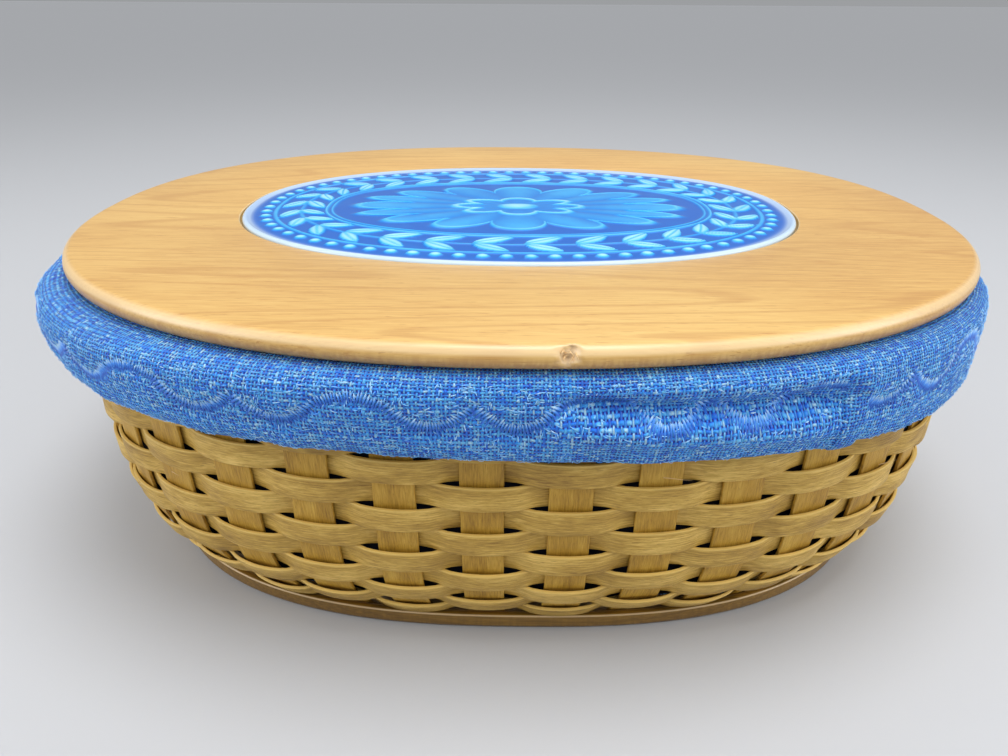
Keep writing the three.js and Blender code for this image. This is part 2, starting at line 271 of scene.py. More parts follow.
def bent_grid(columns, rows, place, size, closed=True, grain_up=False, shift=(0, 0)):
    """A grid whose points go where place(u, v) says. Its UV map is in metres along the grain."""
    shape = bmesh.new()
    bmesh.ops.create_grid(shape, x_segments=columns, y_segments=rows, size=0.5)
    uv = shape.loops.layers.uv.new("run")
    for face in shape.faces:
        for loop in face.loops:
            along = (loop.vert.co.x + 0.5) * size[0] + shift[0]
            across = (loop.vert.co.y + 0.5) * size[1] + shift[1]
            loop[uv].uv = (across, along) if grain_up else (along, across)
    level = shape.verts.layers.float.new("level")
    for vert in shape.verts:
        vert[level] = vert.co.y + 0.5
        vert.co = place(vert.co.x + 0.5, vert.co.y + 0.5)
    if closed:
        bmesh.ops.remove_doubles(shape, verts=shape.verts, dist=WELD)
    return shape


def oval_board(outline, count):
    """A closed board: outline holds (oval, offset, height) from the underside to the top."""
    shape = bmesh.new()
    station = shape.verts.layers.int.new("station")
    circle = bmesh.ops.create_circle(shape, cap_ends=True, segments=count, radius=1)["verts"]
    for vert in circle:
        vert[station] = round(math.atan2(vert.co.x, -vert.co.y) / (2 * math.pi) * count) % count
    fresh = circle
    edges = list(shape.edges)
    for i, (oval, offset, height) in enumerate(outline):
        if i > 0:
            grown = bmesh.ops.extrude_edge_only(shape, edges=edges)["geom"]
            fresh = [part for part in grown if isinstance(part, bmesh.types.BMVert)]
            made = set(fresh)
            edges = [e for v in fresh for e in v.link_edges if e.other_vert(v) in made]
            edges = list(dict.fromkeys(edges))
        for vert in fresh:
            spot, out = oval.at(vert[station] / count)
            vert.co = spot + out * offset + UP * height
    bmesh.ops.edgeloop_fill(shape, edges=edges)
    bmesh.ops.recalc_face_normals(shape, faces=shape.faces)
    return shape


print("grid and board helpers ready")

# %% [markdown]
# ## Thickness, edges and unevenness
# A splint or a cloth is drawn as a sheet, and modifiers then give it thickness and eased edges, so
# the sheet stays easy to change. Handmade pieces are never quite even. A smooth noise that is read
# at a point of the piece gives that drift, the same in every run.

# %% Finishing helpers
EASE_ANGLE = 50  # degrees; only sharper edges are eased


def thicken(piece, thickness, ease):
    solid = piece.modifiers.new("thickness", "SOLIDIFY")
    solid.thickness = thickness
    solid.offset = 0
    if ease:
        edge = piece.modifiers.new("eased_edges", "BEVEL")
        edge.width = ease
        edge.segments = 2
        edge.limit_method = "ANGLE"
        edge.angle_limit = math.radians(EASE_ANGLE)


def rounded(out, height, radius, start, end, steps):
    """Corners of a rounded edge, from start to end in quarter turns."""
    corners = []
    for i in range(steps + 1):
        turn = (start + (end - start) * i / steps) * math.pi / 2
        corners.append((out + radius * math.cos(turn), height + radius * math.sin(turn)))
    return corners


def wander(point, scale, drift=0.0):
    """Smooth random drift between -1 and 1, the same at the same place."""
    return noise.noise(Vector((point.x / scale, point.y / scale, point.z / scale + drift)))


def dress(piece, finish, slot, *nodes):
    piece.data.materials.clear()
    piece.data.materials.append(finish)
    if nodes:
        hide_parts(*nodes)


print("finishing helpers ready")

# %% [markdown]
# ## Node helpers
# The finishes are node trees with many small steps, so short helpers add a node, do
# arithmetic, blend colours, make a ramp and read a piece's own place. Colours are written as the
# screen shows them and turned into linear light here.

# %% Node helpers
BLACK = (0, 0, 0, 1)
WHITE = (1, 1, 1, 1)


def tone(red, green, blue):
    def linear(value):
        share = value / 255
        return share / 12.92 if share <= 0.04045 else ((share + 0.055) / 1.055) ** 2.4

    return (linear(red), linear(green), linear(blue), 1)


def new_finish(name, roughness):
    finish = bpy.data.materials.new(name)
    finish.use_nodes = True
    tree = finish.node_tree
    shader = tree.nodes["Principled BSDF"]
    shader.inputs["Roughness"].default_value = roughness
    return finish, tree, shader


def fill_sockets(tree, node, values):
    for key, value in values.items():
        if isinstance(value, bpy.types.NodeSocket):
            tree.links.new(value, node.inputs[key])
        else:
            node.inputs[key].default_value = value


def add(tree, kind, values=None, **settings):
    node = tree.nodes.new(kind)
    for key, value in settings.items():
        setattr(node, key, value)
    fill_sockets(tree, node, values or {})
    return node


def maths(tree, operation, a, b=0.0):
    return add(tree, "ShaderNodeMath", {0: a, 1: b}, operation=operation).outputs[0]


def part_of(tree, value, share):
    return maths(tree, "MULTIPLY", value, share)


def mixture(tree, a, share_a, b, share_b):
    """Two values added up, each by its share."""
    return maths(tree, "ADD", part_of(tree, a, share_a), part_of(tree, b, share_b))


def swing(tree, value, reach):
    """A noise between 0 and 1, made to swing about zero."""
    return part_of(tree, maths(tree, "SUBTRACT", value, 0.5), reach)


def ramp(tree, factor, stops):
    node = add(tree, "ShaderNodeValToRGB", {0: factor})
    elements = node.color_ramp.elements
    while len(elements) < len(stops):
        elements.new(0.5)
    for element, (place, colour) in zip(elements, stops):
        element.position = place
        element.color = colour
    return node.outputs[0]


def blend(tree, factor, a, b, mode="MIX"):
    node = add(tree, "ShaderNodeMix", {0: factor, 6: a, 7: b}, data_type="RGBA", blend_type=mode)
    return node.outputs[2]


def stretched_noise(tree, vector, scale, detail=4.0, roughness=0.55):
    mapping = add(tree, "ShaderNodeMapping", {"Vector": vector, "Scale": scale})
    values = {"Vector": mapping.outputs[0], "Scale": 1.0, "Detail": detail, "Roughness": roughness}
    return add(tree, "ShaderNodeTexNoise", values).outputs[0]


def run_map(tree):
    return add(tree, "ShaderNodeUVMap", uv_map="run").outputs[0]


def object_place(tree):
    return add(tree, "ShaderNodeTexCoord").outputs["Object"]


def attribute(tree, name):
    return add(tree, "ShaderNodeAttribute", attribute_name=name).outputs["Fac"]


def paint(tree, shader, colour):
    tree.links.new(colour, shader.inputs["Base Color"])


def bump(tree, shader, height, strength, distance):
    node = add(tree, "ShaderNodeBump", {"Height": height, "Strength": strength, "Distance": distance})
    tree.links.new(node.outputs[0], shader.inputs["Normal"])


print("node helpers ready")

# %% [markdown]
# ## Split wood
# The splints are thin strips of maple, shaved along the grain. Up close they show short fine
# fibres, a few darker clouds and many small pores. The grain runs along the first UV direction of
# every strip, so one tree serves weavers and stakes, in different colours. A weaver's upper edge
# is painted a little lighter, as a painted highlight where the edge catches the light.

# %% Splint finishes
def splint_finish(name, dark, middle, light, edge):
    finish, tree, shader = new_finish(name, 0.55)
    run = run_map(tree)
    broad = stretched_noise(tree, run, (28, 110, 1), 3.0)
    fibres = stretched_noise(tree, run, (150, 1900, 1), 5.0, 0.7)
    pores = stretched_noise(tree, run, (260, 2300, 1), 2.0)
    grain = mixture(tree, broad, 0.45, fibres, 0.55)
    colour = ramp(tree, grain, [(0.34, dark), (0.5, middle), (0.64, light)])
    pore_mask = ramp(tree, pores, [(0.3, WHITE), (0.38, BLACK)])
    colour = blend(tree, part_of(tree, pore_mask, 0.6), colour, dark)
    # Painted highlight: a weaver's upper edge is made paler by the edge amount, as if lit from above.
    edge_highlight = ramp(tree, attribute(tree, "level"), [(0.9, BLACK), (1.0, WHITE)])
    colour = blend(tree, part_of(tree, edge_highlight, edge), colour, light)
    paint(tree, shader, colour)
    bump(tree, shader, maths(tree, "ADD", fibres, part_of(tree, broad, 0.5)), 0.45, 0.3 * MM)
    return finish


WEAVER_TONES = (tone(126, 90, 26), tone(188, 150, 62), tone(228, 192, 104))
STAKE_TONES = (tone(128, 90, 18), tone(180, 138, 42), tone(204, 164, 66))
weaver_wood = splint_finish("weaver_wood", *WEAVER_TONES, 0.9)
stake_wood = splint_finish("stake_wood", *STAKE_TONES, 0)
print("splint finishes:", weaver_wood.name, stake_wood.name)

# %% [markdown]
# ## Stakes
# The upright stakes stand in a groove of the base and follow the wall up to the rim. Each
# is a flat strip, so only its height follows the curve. Hand-split wood is never quite even, so
# each one is a little wider or narrower than the next.

# %% Stakes
STAKE_COUNT = 38
STAKE_WIDTH = 14.3 * MM
SPLINT_THICKNESS = 1.2 * MM
SPLINT_EASE = 0.25 * MM
STAKE_SHIFT = -11.5 * MM
rim_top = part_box("rim_outer_band")[1][2]
stake_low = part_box("stake_01")[0][2]


def make_stake(number):
    spot, out = rim.at(STAKE_SHIFT / rim.length + number / STAKE_COUNT)
    along = Vector((-out.y, out.x, 0))
    width = STAKE_WIDTH * dice.uniform(0.97, 1.03)

    def place(u, v):
        height = stake_low + (rim_top - stake_low) * v
        side = (u - 0.5) * width + 0.15 * MM * wander(spot + UP * height, 12 * MM, u)
        return spot + along * side + out * wall_offset(height) + UP * height

    size = (width, rim_top - stake_low)
    shift = (dice.uniform(0, 5), dice.uniform(0, 5))
    name = f"stake_{number + 1:02d}"
    piece = finished("split_" + name, bent_grid(4, 48, place, size, False, True, shift))
    thicken(piece, SPLINT_THICKNESS, SPLINT_EASE)
    dress(piece, stake_wood, "splint_stake", name)
    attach(piece, "basket")


for number in range(STAKE_COUNT):
    make_stake(number)
print("stakes:", STAKE_COUNT)

# %% [markdown]
# ## Weavers
# Each weaver goes over one stake and under the next, and the next row does the opposite. A
# thin stiff strip doesn't fold, it bows, so its distance from the wall's middle is a cosine
# along its length, with flattened crests where it lies on a stake. Its height drifts slightly, its
# width varies, and its ends meet somewhere at the back.

# %% Weavers
WEAVER_ROWS = 10
WEAVER_WIDTH = 9.1 * MM
ROW_GAP = 0.35 * MM
CLEARANCE = 0.3 * MM
BASE_LIP = 6.8 * MM
WEAVER_STAND_OFF = 2.4 * MM  # in the frame, which sets the height of the rows
WEAVER_BOW = 2.0 * MM
WEAVER_FLATNESS = 0.65  # below 1 the crests of the bow are flatter
STEPS_PER_STAKE = 10
weaver_face = WEAVER_STAND_OFF + SPLINT_THICKNESS / 2
first_rise = WEAVER_WIDTH / 2 + weaver_face * wall_slope(BASE_LIP) + CLEARANCE
row_pitch = WEAVER_WIDTH + ROW_GAP
row_heights = [climb(BASE_LIP, first_rise + row * row_pitch) for row in range(WEAVER_ROWS)]


def make_weaver(row):
    height = row_heights[row]
    swap = -1 if row % 2 == 0 else 1
    bows = [dice.uniform(0.95, 1.15) for _ in range(STAKE_COUNT)]
    leans = [dice.uniform(-0.25, 0.25) * MM for _ in range(STAKE_COUNT)]
    drift = dice.uniform(0, 50)
    start = dice.randrange(13, 25)

    def place(u, v):
        steps = u * STAKE_COUNT + start
        spot, out = rim.at(STAKE_SHIFT / rim.length + steps / STAKE_COUNT)
        near = round(steps) % STAKE_COUNT
        turn = math.cos(math.pi * steps)
        wave = math.copysign(abs(turn) ** WEAVER_FLATNESS, turn)
        up = (v - 0.5) * WEAVER_WIDTH * (1 + 0.03 * wander(spot, 25 * MM, drift))
        up += 0.25 * MM * wander(spot, 40 * MM, drift + 9)
        away = swap * wave * WEAVER_BOW * bows[near]
        away += leans[near] * abs(wave) * (v - 0.5) * 2
        offset, level = wall_point(height, away, up)
        return spot + out * offset + UP * level

    size = (rim.length, WEAVER_WIDTH)
    shift = (dice.uniform(0, 5), dice.uniform(0, 5))
    name = f"weaver_row_{row + 1:02d}"
    shape = bent_grid(STAKE_COUNT * STEPS_PER_STAKE, 3, place, size, True, False, shift)
    piece = finished("woven_" + name, shape)
    thicken(piece, SPLINT_THICKNESS, SPLINT_EASE)
    dress(piece, weaver_wood, "splint_weaver", name)
    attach(piece, "basket")


for row in range(WEAVER_ROWS):
    make_weaver(row)
print("weaver rows at", [round(height / MM, 1) for height in row_heights], "mm")

# %% [markdown]
# ## Lacquered boards
# Lid and base are maple boards with the grain along the long axis, under a satin lacquer. A slow
# noise stretched along X is cut into thin contour lines, which gives the arches of sawn wood, and
# short dark flecks lie between. It reads Object coordinates, so it runs through the board as it
# does in real wood. A rounded edge is paler on its upper side, partly rubbed wear and partly a
# painted highlight. Where it faces sideways and down it is darker and browner in streaks, partly
# end grain and partly painted shade.

# %% Board finishes
GRAIN_LINES = 190.0  # more gives closer arches
RUBBED_WOOD_AND_HIGHLIGHT = tone(238, 210, 164)
CHIPPED_WOOD = tone(240, 210, 164)


def board_finish(name, dark, middle, light, roughness):
    finish, tree, shader = new_finish(name, roughness)
    place = object_place(tree)
    tint = stretched_noise(tree, place, (5, 12, 12), 2.0)
    field = stretched_noise(tree, place, (1.5, 13, 13), 1.5, 0.4)
    fibres = stretched_noise(tree, place, (60, 1500, 1500), 4.0, 0.7)
    flecks = stretched_noise(tree, place, (120, 1500, 1500), 2.0)
    lines = maths(tree, "SINE", part_of(tree, field, GRAIN_LINES))
    lines = ramp(tree, lines, [(0.7, BLACK), (1.0, WHITE)])
    grain = mixture(tree, tint, 0.4, fibres, 0.6)
    colour = ramp(tree, grain, [(0.34, dark), (0.5, middle), (0.64, light)])
    colour = blend(tree, part_of(tree, lines, 0.42), colour, dark)
    mask = ramp(tree, flecks, [(0.29, WHITE), (0.36, BLACK)])
    colour = blend(tree, part_of(tree, mask, 0.8), colour, dark)
    normal = add(tree, "ShaderNodeNewGeometry").outputs["Normal"]
    upward = add(tree, "ShaderNodeSeparateXYZ", {0: normal}).outputs[2]
    lean = part_of(tree, maths(tree, "ADD", upward, 1.0), 0.5)
    # Painted shade, broken into end-grain streaks: faces that turn sideways and down are darkened.
    edge = ramp(tree, lean, [(0.3, WHITE), (0.66, BLACK)])
    ticks = stretched_noise(tree, place, (800, 800, 25), 2.0)
    ticks = ramp(tree, ticks, [(0.4, (0.8, 0.8, 0.8, 1)), (0.6, (0.35, 0.35, 0.35, 1))])
    colour = blend(tree, maths(tree, "MULTIPLY", edge, ticks), colour, dark)
    # Paler band on the upper side of a rounded edge: partly rubbed wear, partly painted highlight.
    edge_highlight = ramp(tree, lean, [(0.6, BLACK), (0.72, WHITE), (0.9, WHITE), (0.985, BLACK)])
    colour = blend(tree, part_of(tree, edge_highlight, 0.6), colour, RUBBED_WOOD_AND_HIGHLIGHT)
    colour = blend(tree, attribute(tree, "raw"), colour, CHIPPED_WOOD)
    paint(tree, shader, colour)
    shader.inputs["Coat Weight"].default_value = 0.35
    shader.inputs["Coat Roughness"].default_value = 0.22
    bump(tree, shader, fibres, 0.1, 0.1 * MM)
    return finish


LID_TONES = (tone(186, 134, 66), tone(213, 168, 93), tone(224, 184, 108))
BASE_TONES = (tone(100, 70, 18), tone(138, 102, 32), tone(156, 120, 44))
lid_wood = board_finish("lid_maple", *LID_TONES, 0.4)
base_wood = board_finish("base_maple", *BASE_TONES, 0.5)
print("board finishes:", lid_wood.name, base_wood.name)

# %% [markdown]
# ## Base board
# The base is a thin oval board with a rounded lower edge. A groove near its edge takes the
# stakes, and the lip outside the groove is what shows under the lowest row.

# %% Base board
BASE_EDGE = -19.5 * MM
BASE_THICKNESS = 8 * MM
BASE_ROUND = 2.4 * MM
LIP_ROUND = 0.8 * MM
GROOVE_FLOOR = 2 * MM
BOARD_STEPS = 288
stake_face = SPLINT_THICKNESS / 2 + CLEARANCE


def face_offset(height, out):
    return wall_offset(height) + out * math.hypot(1, wall_slope(height))


base_outline = rounded(BASE_EDGE - BASE_ROUND, BASE_ROUND, BASE_ROUND, -1, 0, 8)
base_outline += rounded(BASE_EDGE - LIP_ROUND, BASE_LIP - LIP_ROUND, LIP_ROUND, 0, 1, 4)
base_outline += [
    (face_offset(BASE_LIP, stake_face), BASE_LIP),
    (face_offset(GROOVE_FLOOR, stake_face), GROOVE_FLOOR),
    (face_offset(GROOVE_FLOOR, -stake_face), GROOVE_FLOOR),
    (face_offset(BASE_THICKNESS, -stake_face), BASE_THICKNESS),
]
base = finished("base_oval", oval_board([(rim, *corner) for corner in base_outline], BOARD_STEPS))
dress(base, base_wood, "base_wood", "base_board")
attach(base, "basket")
print("base faces:", len(base.data.polygons))

# %% [markdown]
# ## Lid board
# A round-nosed edge, a step underneath that drops inside the rim, and an oval pocket for the
# tile. The pocket's plan is its own oval, so the lid's top is the strip between two ovals. A small
# chip in the front edge shows raw wood: the points near it are pushed in and marked as raw.

# %% Lid board
LID_HALF_LENGTH = 190 * MM
LID_HALF_WIDTH = 158.5 * MM
LID_POWER = 2.24
LID_NOSE = 4 * MM
LID_STEP_EDGE = -8.4 * MM
TILE_HALF_LENGTH = 124 * MM
TILE_HALF_WIDTH = 86 * MM
TILE_POWER = 2.22
TILE_GAP = 1 * MM
POCKET_DEPTH = 6 * MM
POCKET_EASE = 0.6 * MM
CHIP_SPOT = Vector((13.5 * MM, -LID_HALF_WIDTH + 1 * MM, lid_high[2] - 3.2 * MM))
CHIP_REACH = 3.6 * MM
CHIP_DEPTH = 3.4 * MM
CHIP_PUSH = Vector((0, 1, -0.3))

lid_oval = Oval(LID_HALF_LENGTH, LID_HALF_WIDTH, LID_POWER)
tile_oval = Oval(TILE_HALF_LENGTH, TILE_HALF_WIDTH, TILE_POWER)
lid_top = lid_high[2]
lid_shoulder = lid_top - 2 * LID_NOSE
lid_outline = [(rim, LID_STEP_EDGE, lid_low[2]), (rim, LID_STEP_EDGE, lid_shoulder)]
for corner in rounded(-LID_NOSE, lid_shoulder + LID_NOSE, LID_NOSE, -1, 1, 18):
    lid_outline.append((lid_oval, *corner))
lid_outline += [(lid_oval, -LID_NOSE - 2.5 * MM, lid_top), (lid_oval, -LID_NOSE - 6 * MM, lid_top)]
for corner in rounded(TILE_GAP + POCKET_EASE, lid_top - POCKET_EASE, POCKET_EASE, 1, 2, 3):
    lid_outline.append((tile_oval, *corner))
lid_outline.append((tile_oval, TILE_GAP, lid_top - POCKET_DEPTH))
lid_shape = oval_board(lid_outline, 4 * BOARD_STEPS)
raw = lid_shape.verts.layers.float.new("raw")
for vert in lid_shape.verts:
    away = (vert.co - CHIP_SPOT) / CHIP_REACH
    far = away.length + 0.6 * wander(vert.co, 2 * MM)
    if far < 1:
        vert.co += CHIP_PUSH * CHIP_DEPTH * (1 - far)
        vert[raw] = min(1.0, 2.5 * (1 - far))
lid = finished("lid_oval", lid_shape)
dress(lid, lid_wood, "lid_wood", "lid_board")
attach(lid, "lid")
print("lid faces:", len(lid.data.polygons))

# %% [markdown]
# ## Glazed tile
# A moulded tile with a low relief under a clear blue glaze. The glaze is thin and pale on the
# ridges and deep in the hollows, and it runs off the rim, which is almost white. The relief is a
# plain garland of leaves between beads and rings, with a rosette in the middle. Its height is
# kept on each point of the mesh, and the finish turns that height into depth of colour.

# %% Tile relief
TILE_RIM = 2.4 * MM
BORDER_DEPTH = 44 * MM
BEAD_COUNT = 72
BEAD_INSET = 10 * MM
BEAD_RADIUS = 2.6 * MM
RINGS = ((14.2 * MM, 0.7 * MM, 1.0), (36.5 * MM, 0.7 * MM, 1.0), (39 * MM, 0.6 * MM, 0.8))
GARLAND_INSET = 25.4 * MM
LEAF_PAIRS = 30
LEAF_LENGTH = 8.2 * MM
LEAF_WIDTH = 3.4 * MM
LEAF_LEAN = 0.62  # radians away from the stem
LEAF_ASIDE = 5.2 * MM
STEM_WIDTH = 0.8 * MM
VEIN_WIDTH = 0.45 * MM


def bell(distance, width):
    return math.exp(-(distance / width) ** 2)


def dome(distance, radius):
    return math.sqrt(max(0.0, 1 - (distance / radius) ** 2))


def leaf(along, across, length, width):
    """One leaf with a vein, its stalk at the left end."""
    if abs(along) >= length:
        return 0
    half = width * (1 - (along / length) ** 2) * (1 - 0.25 * along / length)
    if abs(across) >= half:
        return 0
    return 0.35 + 0.65 * dome(across, half) - 0.5 * bell(across, VEIN_WIDTH)


def turned(along, across, angle):
    c, s = math.cos(angle), math.sin(angle)
    return c * along + s * across, c * across - s * along


def garland(travel, across, pitch):
    """Pairs of leaves along a stem, repeated every pitch."""
    high = 0.55 * bell(across, STEM_WIDTH)
    for step in (-1, 0, 1):
        local = (travel / pitch - math.floor(travel / pitch) - 0.5 - step) * pitch
        for side in (-1, 1):
            a, c = turned(local, across - side * LEAF_ASIDE, side * LEAF_LEAN)
            high = max(high, leaf(a, c, LEAF_LENGTH, LEAF_WIDTH))
    return high


def border_relief(share, inset):
    """Relief of the bands that run round the tile, by distance in from the edge."""
    length = tile_oval.length - 2 * math.pi * inset
    travel = share * length
    bead_pitch = length / BEAD_COUNT
    local = (travel / bead_pitch) % 1 - 0.5
    bead = dome(math.hypot(local * bead_pitch, inset - BEAD_INSET), BEAD_RADIUS)
    rings = max(high * bell(inset - place, width) for place, width, high in RINGS)
    leaves = garland(travel, inset - GARLAND_INSET, length / LEAF_PAIRS)
    return max(bead, 0.8 * rings, leaves)


def rosette_relief(share, reach):
    """A rosette: reach is 0 in the middle and 1 where the border starts."""
    turn = 2 * math.pi * share
    petals = abs(math.cos(8 * turn))
    outer = 0.62 + 0.3 * petals ** 0.6
    high = 0.75 * bell(reach - outer, 0.035)
    if reach < outer:
        high = max(high, 0.25 + 0.3 * petals * reach)
    inner = 0.24 + 0.12 * abs(math.cos(4 * turn))
    high = max(high, 0.9 * bell(reach - inner, 0.04))
    return max(high, dome(reach, 0.13))


print("relief:", BEAD_COUNT, "beads and", LEAF_PAIRS, "pairs of leaves")

# %% [markdown]
# ## Pressing the tile
# A real tile is pressed in a mould. Here a grid is wrapped round the tile's oval instead: its first
# rows climb the side and the rounded rim, the others run in to the middle and take the relief.

# %% Tile mesh
TILE_SIDE_ROWS = 12
TILE_FACE_ROWS = 96
TILE_COLUMNS = 760
RIM_TURN = 0.62  # of half a turn, from the side over the rim
FOOT_EASE = 0.8 * MM
FACE_DROP = 0.9 * MM
RELIEF = 0.8 * MM
tile_low, tile_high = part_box("lid_tile")


def tile_row(v):
    """Inset from the edge, height above the foot and reach into the middle for one row."""
    row = round(v * (TILE_SIDE_ROWS + TILE_FACE_ROWS))
    top = tile_high[2] - tile_low[2]
    if row <= TILE_SIDE_ROWS:
        if row <= 2:
            return ((2 - row) / 2 * FOOT_EASE, row / 2 * FOOT_EASE, None)
        turn = (row - 3) / (TILE_SIDE_ROWS - 3) * math.pi * RIM_TURN
        radius = TILE_RIM * RIM_TURN
        return (radius * (1 - math.cos(turn)), top - radius * (1 - math.sin(turn)), None)
    share = (row - TILE_SIDE_ROWS) / TILE_FACE_ROWS
    inset = TILE_RIM + share * (TILE_HALF_WIDTH - TILE_RIM)
    reach = max(0.0, (TILE_HALF_WIDTH - inset) / (TILE_HALF_WIDTH - BORDER_DEPTH))
    return (inset, top - FACE_DROP, reach)


def make_tile():
    shape = bmesh.new()
    rows = TILE_SIDE_ROWS + TILE_FACE_ROWS
    bmesh.ops.create_grid(shape, x_segments=TILE_COLUMNS, y_segments=rows, size=0.5)
    relief = shape.verts.layers.float.new("relief")
    rim_glaze = shape.verts.layers.float.new("rim_glaze")
    for vert in shape.verts:
        u, v = vert.co.x + 0.5, vert.co.y + 0.5
        spot, out = tile_oval.at(u)
        inset, height, reach = tile_row(v)
        high = 0
        if reach is None:
            flat = spot - out * inset
            vert[rim_glaze] = 0.9 - 0.35 * inset / TILE_RIM
        elif inset <= BORDER_DEPTH:
            flat = spot - out * inset
            high = border_relief(u, inset)
            vert[rim_glaze] = 0.65 * bell(inset - TILE_RIM, 1.8 * MM)
        else:
            flat = (spot - out * BORDER_DEPTH) * max(reach, 0.004)
            high = rosette_relief(u, reach)
        vert[relief] = high
        vert.co = flat + UP * (tile_low[2] + height + RELIEF * high)
    bmesh.ops.remove_doubles(shape, verts=shape.verts, dist=WELD)
    rims = [edge for edge in shape.edges if edge.is_boundary]
    bmesh.ops.holes_fill(shape, edges=rims, sides=TILE_COLUMNS + 1)
    bmesh.ops.recalc_face_normals(shape, faces=shape.faces)
    return finished("glazed_tile", shape)


tile = make_tile()
print("tile faces:", len(tile.data.polygons))

# %% [markdown]
# ## The glaze
# One ramp turns the relief into blue: deep in the hollows, pale on the ridges. A soft cloud of
# noise makes the glaze run a little uneven, and the white body shows through at the rim.

# %% Tile glaze
def glaze_finish():
    finish, tree, shader = new_finish("blue_glaze", 0.12)
    place = object_place(tree)
    cloud = stretched_noise(tree, place, (55, 55, 55), 3.0)
    depth = maths(tree, "ADD", attribute(tree, "relief"), swing(tree, cloud, 0.35))
    blues = [(0.0, tone(4, 96, 192)), (0.3, tone(10, 132, 218)), (0.65, tone(60, 182, 240)),
             (1.0, tone(160, 224, 250))]
    colour = blend(tree, attribute(tree, "rim_glaze"), ramp(tree, depth, blues), tone(216, 236, 246))
    paint(tree, shader, colour)
    shader.inputs["Specular IOR Level"].default_value = 0.35
    return finish


dress(tile, glaze_finish(), "tile_glaze", "lid_tile")
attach(tile, "tile")
print("glaze:", tile.data.materials[0].name)

# %% [markdown]
# ## Liner cloth
# The liner is a coarse slub weave: thick and thin threads in several blues, with pale flecks.
# Low between the threads the colour is darkened as painted shade. The UV map is in metres, so one thread
# is always the same size.
# Two sets of threads cross, and the product of two sines says which one lies on top.

# %% Cloth finish
THREAD_PITCH = 1.19 * MM
THREAD_SWAY = 1.0 * MM
THREAD_RISE = 0.62
CROSSING_RISE = 0.38


def thread_shade(tree, along, number, seed):
    """One thread's own shade, drifting along its length."""
    vector = add(tree, "ShaderNodeCombineXYZ", {0: along, 1: number, 2: seed}).outputs[0]
    return stretched_noise(tree, vector, (0.35, 0.73, 1), 1.0)


def thread_bulk(tree, number, seed):
    """How thick one thread is: a small power makes a broad thread, a large one a thin thread."""
    vector = add(tree, "ShaderNodeCombineXYZ", {0: number, 1: seed}).outputs[0]
    spread = add(tree, "ShaderNodeTexWhiteNoise", {0: vector}, noise_dimensions="2D").outputs[0]
    return maths(tree, "ADD", part_of(tree, spread, 1.8), 0.7)


def vector_maths(tree, operation, values):
    return add(tree, "ShaderNodeVectorMath", values, operation=operation).outputs[0]


def cloth_finish():
    finish, tree, shader = new_finish("liner_cloth", 0.9)
    run = run_map(tree)
    sway = add(tree, "ShaderNodeTexNoise", {"Vector": run, "Scale": 300.0, "Detail": 2.0}).outputs[1]
    sway = vector_maths(tree, "SUBTRACT", {0: sway, 1: (0.5, 0.5, 0.5)})
    sway = vector_maths(tree, "SCALE", {0: sway, 3: THREAD_SWAY})
    moved = vector_maths(tree, "ADD", {0: run, 1: sway})
    parts = add(tree, "ShaderNodeSeparateXYZ", {0: moved})
    across = maths(tree, "DIVIDE", parts.outputs[0], THREAD_PITCH)
    down = maths(tree, "DIVIDE", parts.outputs[1], THREAD_PITCH)
    warp_wave = maths(tree, "SINE", part_of(tree, across, math.pi))
    weft_wave = maths(tree, "SINE", part_of(tree, down, math.pi))
    crossing = part_of(tree, part_of(tree, warp_wave, weft_wave), CROSSING_RISE)
    warp_number = maths(tree, "FLOOR", across)
    weft_number = maths(tree, "FLOOR", down)
    warp_bulk = thread_bulk(tree, warp_number, 2.0)
    weft_bulk = thread_bulk(tree, weft_number, 6.0)
    warp_round = maths(tree, "POWER", maths(tree, "ABSOLUTE", warp_wave), warp_bulk)
    weft_round = maths(tree, "POWER", maths(tree, "ABSOLUTE", weft_wave), weft_bulk)
    warp = part_of(tree, warp_round, maths(tree, "ADD", crossing, THREAD_RISE))
    weft = part_of(tree, weft_round, maths(tree, "SUBTRACT", THREAD_RISE, crossing))
    height = maths(tree, "MAXIMUM", warp, weft)
    warp_shade = thread_shade(tree, down, warp_number, 3.0)
    weft_shade = thread_shade(tree, across, weft_number, 8.0)
    upper = maths(tree, "GREATER_THAN", warp, weft)
    shade = add(tree, "ShaderNodeMix", {0: upper, 2: weft_shade, 3: warp_shade}).outputs[0]
    cell = add(tree, "ShaderNodeCombineXYZ", {0: warp_number, 1: weft_number}).outputs[0]
    fleck = add(tree, "ShaderNodeTexWhiteNoise", {0: cell}, noise_dimensions="2D").outputs[0]
    shade = mixture(tree, shade, 0.85, fleck, 0.15)
    blues = [(0.36, tone(26, 122, 240)), (0.47, tone(52, 164, 255)), (0.56, tone(96, 196, 255)),
             (0.66, tone(178, 226, 255))]
    colour = ramp(tree, shade, blues)
    # Painted shade: where the weave is low, between and under the threads, the colour is darkened.
    gap = ramp(tree, height, [(0.18, tone(8, 46, 150)), (0.41, tone(158, 208, 255)), (0.66, WHITE)])
    paint(tree, shader, blend(tree, 1.0, colour, gap, "MULTIPLY"))
    shader.inputs["Sheen Weight"].default_value = 0.15
    shader.inputs["Sheen Roughness"].default_value = 0.5
    bump(tree, shader, height, 1.0, 1.1 * MM)
    return finish


cloth = cloth_finish()
print("cloth threads every", round(THREAD_PITCH / MM, 2), "mm")

# %% [markdown]
# ## The cuff
# The top of the liner folds over the rim, puffs out and is drawn in again by elastic in its hem.
# A few points give its path from the inside of the rim to the hem, and a smooth curve runs
# through them. At the right end the cloth hangs straighter, and the hem slopes down that way.

# %% Cuff path
HEM_DEPTH = 28 * MM
HEM_SKEW = 3.5 * MM
CUFF_BULGE = 12.3 * MM
CUFF_BULGE_SKEW = 2.2 * MM
CUFF_POINTS = 13


def smooth_step(low, high, value):
    share = min(1.0, max(0.0, (value - low) / (high - low)))
    return share * share * (3 - 2 * share)


